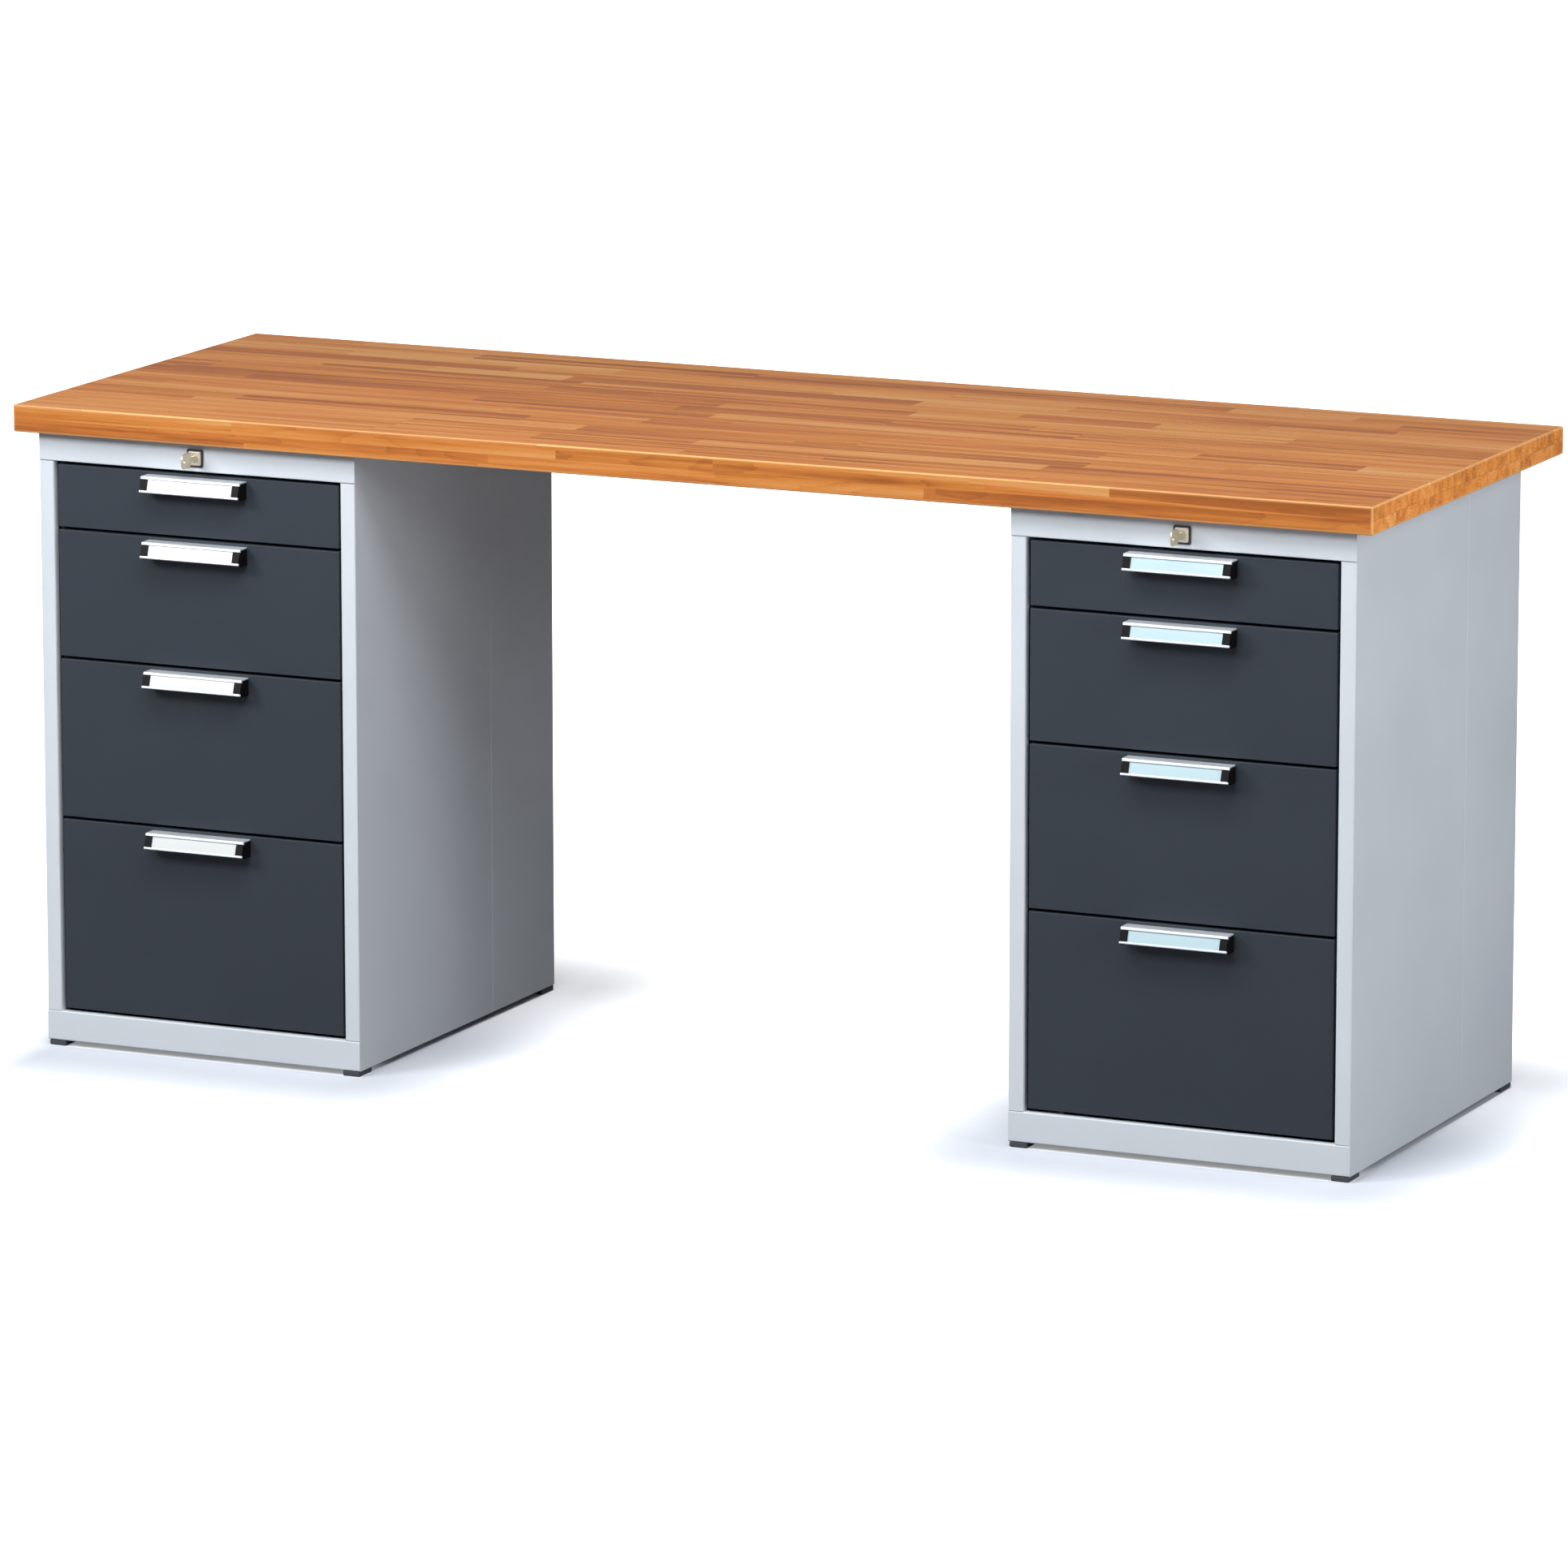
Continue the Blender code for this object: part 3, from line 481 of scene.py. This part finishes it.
for tag, side in TAGS:
    for i in (1, 2, 3, 4):
        n = f"{tag}_drawer_{i}"
        lo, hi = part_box(n + "_front")
        cx, face, top = (lo.x + hi.x) / 2, lo.y, hi.z - 0.004
        # label card in the profile's channel, very slightly bowed
        bm = bmesh.new()
        cols, half = 24, 0.0652
        grid = {}
        for c in range(cols + 1):
            x = -half + 2 * half * c / cols
            bow = 0.12 * (1 - (2 * c / cols - 1) ** 2)
            for r, s in enumerate((1.6, 6.4, 11.0, 15.6, 20.4)):
                lift = bow * (1 - abs(r - 2) / 2)
                for k, m in enumerate((1.72 - lift, 1.97 - lift)):
                    grid[c, r, k] = bm.verts.new(on_slope(cx, face, top, x, s, m))
        for c in range(cols):
            for r in range(4):
                bm.faces.new([grid[c, r, 0], grid[c + 1, r, 0], grid[c + 1, r + 1, 0], grid[c, r + 1, 0]])
                bm.faces.new([grid[c, r, 1], grid[c, r + 1, 1], grid[c + 1, r + 1, 1], grid[c + 1, r, 1]])
        for c in range(cols):
            bm.faces.new([grid[c, 0, 0], grid[c, 0, 1], grid[c + 1, 0, 1], grid[c + 1, 0, 0]])
            bm.faces.new([grid[c, 4, 0], grid[c + 1, 4, 0], grid[c + 1, 4, 1], grid[c, 4, 1]])
        for r in range(4):
            bm.faces.new([grid[0, r, 0], grid[0, r + 1, 0], grid[0, r + 1, 1], grid[0, r, 1]])
            bm.faces.new([grid[cols, r, 0], grid[cols, r, 1], grid[cols, r + 1, 1], grid[cols, r + 1, 0]])
        new_piece(n + "_label", bm, [LABEL[tag]], n)


def lathe(bm, centre, axis, profile, seg=20):
    """Turned piece: profile is (radius, height along the axis) from the middle of its top outwards."""
    axis = Vector(axis).normalized()
    side = axis.orthogonal().normalized()
    up = axis.cross(side)
    rings = []
    for r, h in profile:
        if r == 0.0:
            rings.append([bm.verts.new(centre + axis * h)])
        else:
            rings.append([bm.verts.new(centre + axis * h + side * (r * math.cos(2 * math.pi * k / seg)) +
                                       up * (r * math.sin(2 * math.pi * k / seg))) for k in range(seg)])
    for a, b in zip(rings, rings[1:]):
        for k in range(seg):
            j = (k + 1) % seg
            if len(a) == 1:
                bm.faces.new([a[0], b[k], b[j]])
            elif len(b) == 1:
                bm.faces.new([a[k], b[0], a[j]])
            else:
                bm.faces.new([a[k], b[k], b[j], a[j]])


# blind rivet head with the end of its mandrel, and the peened pin of a roller, in metres
RIVET = [(0.0, 0.0008), (0.0006, 0.0008), (0.0008, 0.0003), (0.0012, 0.0004), (0.0016, 0.0011), (0.0024, 0.00095),
         (0.0031, 0.0005), (0.0034, 0.0001), (0.0034, 0.00005), (0.0, 0.00005)]
PIN = [(0.0, 0.0009), (0.0012, 0.0008), (0.0022, 0.0005), (0.0027, 0.00015), (0.0027, 0.00005), (0.0, 0.00005)]

for tag, side in TAGS:
    cage_lo, cage_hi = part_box(f"{tag}_runner_cage")
    cx = (cage_lo.x + cage_hi.x) / 2
    pins = bmesh.new()
    for i in (1, 2, 3, 4):
        n = f"{tag}_drawer_{i}"
        t_lo, t_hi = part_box(n + "_tray")
        for s in (-1, 1):
            lathe(pins, Vector((cx + s * 0.2100, FRONT_Y + 0.051, t_lo.z + 0.022)), (-s, 0, 0), PIN, 16)
        # rivets that hold the front, seen on the inner face of the tray's front wall
        bm = bmesh.new()
        h = t_hi.z - t_lo.z
        rows = (0.5,) if h < 0.1 else (0.22, 0.80)
        for x in (-0.165, -0.055, 0.055, 0.165):
            for r in rows:
                lathe(bm, Vector((cx + x, t_lo.y + 0.0010, t_lo.z + h * r)), (0, 1, 0), RIVET)
        new_piece(n + "_front_rivets", bm, [SCREW], n)
    new_piece(f"{tag}_roller_pins", pins, [SCREW], "bench")


# ------------------------------------------------------------------ floor, light, camera
FLOOR_SEEN = (0.66, 0.70, 0.77)
FLOOR_BOUNCE = 0.30                  # how much of its light the floor throws back on the object

bm = bmesh.new()
bmesh.ops.create_grid(bm, x_segments=8, y_segments=8, size=70.0)
me = bpy.data.meshes.new("floor")
bm.to_mesh(me)
bm.free()
floor = bpy.data.objects.new("floor", me)
scene.collection.objects.link(floor)
floor.location.z = -0.0002
fm = Mat("floor_pale")
fx, fy, fz = fm.xyz(fm.P)
# distance on the floor from the nearer pedestal; painted light: the floor glows white away from it by its emission, and
# the soft shadow near the pedestals is where this glow is left out
ped_lo, ped_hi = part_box("right_base_tray")
px, py = (ped_lo.x + ped_hi.x) / 2, (ped_lo.y + ped_hi.y) / 2
hx, hy = (ped_hi.x - ped_lo.x) / 2, (ped_hi.y - ped_lo.y) / 2
dx = fm.math("MAXIMUM", fm.math("SUBTRACT", fm.math("ABSOLUTE", fm.math("SUBTRACT", fm.math("ABSOLUTE", fx), px)), hx), 0.0)
dy = fm.math("MAXIMUM", fm.math("SUBTRACT", fm.math("ABSOLUTE", fm.math("SUBTRACT", fy, py)), hy), 0.0)
away = fm.math("SQRT", fm.math("ADD", fm.math("MULTIPLY", fm.math("MULTIPLY", dx, dx), 1.7), fm.math("MULTIPLY", dy, dy)))
glow = fm.remap(away, 0.02, 0.42, 0.0, 1.0, "SMOOTHSTEP")
# painted light: more glow towards the back and beyond the left pedestal
glow = fm.math("ADD", glow, fm.remap(fy, py - 0.12, py + 0.24, 0.0, 0.40, "SMOOTHSTEP"))
glow = fm.math("ADD", glow, fm.remap(fx, -px - hx + 0.03, -px - hx - 0.05, 0.0, 0.40, "SMOOTHSTEP"))
# painted light under a pedestal: a faint glow towards the front, standing in for the light that comes in below the
# plinth
under = fm.math("LESS_THAN", away, 0.0005)
painted_plinth_glow = fm.remap(fy, py - hy, py - hy + 0.12, 0.28, 0.0, "SMOOTHSTEP")
glow = fm.math("ADD", fm.math("MULTIPLY", glow, fm.math("SUBTRACT", 1.0, under)), fm.math("MULTIPLY", under, painted_plinth_glow))
fm.set(color=(*FLOOR_SEEN, 1.0), rough=0.95, spec=0.0, emit=(1.0, 1.0, 1.0, 1.0), emit_k=glow)
dull = fm.t.nodes.new("ShaderNodeBsdfDiffuse")
dull.inputs["Color"].default_value = (FLOOR_BOUNCE, FLOOR_BOUNCE * 1.02, FLOOR_BOUNCE * 1.06, 1.0)
path = fm.t.nodes.new("ShaderNodeLightPath")
both = fm.t.nodes.new("ShaderNodeMixShader")
fm.t.links.new(path.outputs["Is Camera Ray"], both.inputs[0])
fm.t.links.new(dull.outputs[0], both.inputs[1])
fm.t.links.new(fm.b.outputs[0], both.inputs[2])
fm.t.links.new(both.outputs[0], fm.out.inputs["Surface"])
me.materials.append(fm.mat)
floor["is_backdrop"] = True

world = bpy.data.worlds.new("studio")
scene.world = world
world.use_nodes = True
wt = world.node_tree
wt.nodes.clear()
w_out = wt.nodes.new("ShaderNodeOutputWorld")
w_mix = wt.nodes.new("ShaderNodeMixShader")
w_cam = wt.nodes.new("ShaderNodeBackground")
w_cam.inputs["Color"].default_value = (1.0, 1.0, 1.0, 1.0)
w_cam.inputs["Strength"].default_value = 1.05
w_env = wt.nodes.new("ShaderNodeBackground")
lp = wt.nodes.new("ShaderNodeLightPath")
wt.links.new(lp.outputs["Is Camera Ray"], w_mix.inputs[0])
wt.links.new(w_env.outputs[0], w_mix.inputs[1])
wt.links.new(w_cam.outputs[0], w_mix.inputs[2])
wt.links.new(w_mix.outputs[0], w_out.inputs["Surface"])
w_env.inputs["Color"].default_value = (0.97, 0.985, 1.0, 1.0)
# dim surroundings for the diffuse light, brighter ones for what gloss and metal reflect
w_level = wt.nodes.new("ShaderNodeMapRange")
wt.links.new(lp.outputs["Is Glossy Ray"], w_level.inputs["Value"])
w_level.inputs["To Min"].default_value = 0.035
w_level.inputs["To Max"].default_value = 0.38
wt.links.new(w_level.outputs[0], w_env.inputs["Strength"])


def softbox(name, at, aim, size, energy, color=(1.0, 1.0, 1.0)):
    """Rectangular studio light at a point, aimed at another."""
    la = bpy.data.lights.new(name, "AREA")
    la.shape = "RECTANGLE"
    la.size, la.size_y = size
    la.energy = energy
    la.color = color
    ob = bpy.data.objects.new(name, la)
    ob.location = at
    ob.rotation_mode = "QUATERNION"
    ob.rotation_quaternion = (Vector(aim) - Vector(at)).to_track_quat("-Z", "Y")
    ob.visible_camera = False
    scene.collection.objects.link(ob)
    return ob


softbox("key_left", (-2.6, -3.2, 2.6), (0.0, 0.0, 0.6), (1.6, 1.2), 98.0)
softbox("key_front", (0.3, -3.6, 2.8), (0.0, 0.0, 0.6), (2.0, 1.2), 50.0)
softbox("overhead", (0.3, -2.0, 3.4), (0.0, 0.0, 0.8), (3.0, 1.2), 92.0)
softbox("side_right", (3.2, -0.8, 1.0), (0.97, 0.0, 0.45), (1.0, 1.0), 28.0)
rear = softbox("rear", (-1.2, 4.2, 1.3), (0.0, 0.2, 0.5), (1.8, 1.4), 70.0)
rear.visible_glossy = False          # it only fills the back, the worktop doesn't mirror it
softbox("side_right_high", (2.4, 0.2, 1.6), (0.97, 0.0, 0.45), (1.0, 1.0), 8.0)

PAN, ELEV, ROLL = -0.4315, 0.1992, -0.0003
cam = bpy.data.cameras.new("camera")
cam.sensor_width = 36.0
cam.lens = 36.0 * 11711.38 / 1932.0
cam.clip_start, cam.clip_end = 0.5, 200.0
cam_ob = bpy.data.objects.new("camera", cam)
scene.collection.objects.link(cam_ob)
cam_ob.location = (5.3554, -11.6274 + TOP_LO.y + 0.356, 2.9743)
look = Vector((math.sin(PAN) * math.cos(ELEV), math.cos(PAN) * math.cos(ELEV), -math.sin(ELEV)))
cam_ob.rotation_mode = "QUATERNION"
cam_ob.rotation_quaternion = look.to_track_quat("-Z", "Y") @ Matrix.Rotation(ROLL, 3, "Z").to_quaternion()
scene.camera = cam_ob

scene.view_settings.view_transform = "Standard"
scene.view_settings.look = "None"
scene.view_settings.exposure = 0.0
scene.view_settings.gamma = 1.0

lo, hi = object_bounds()
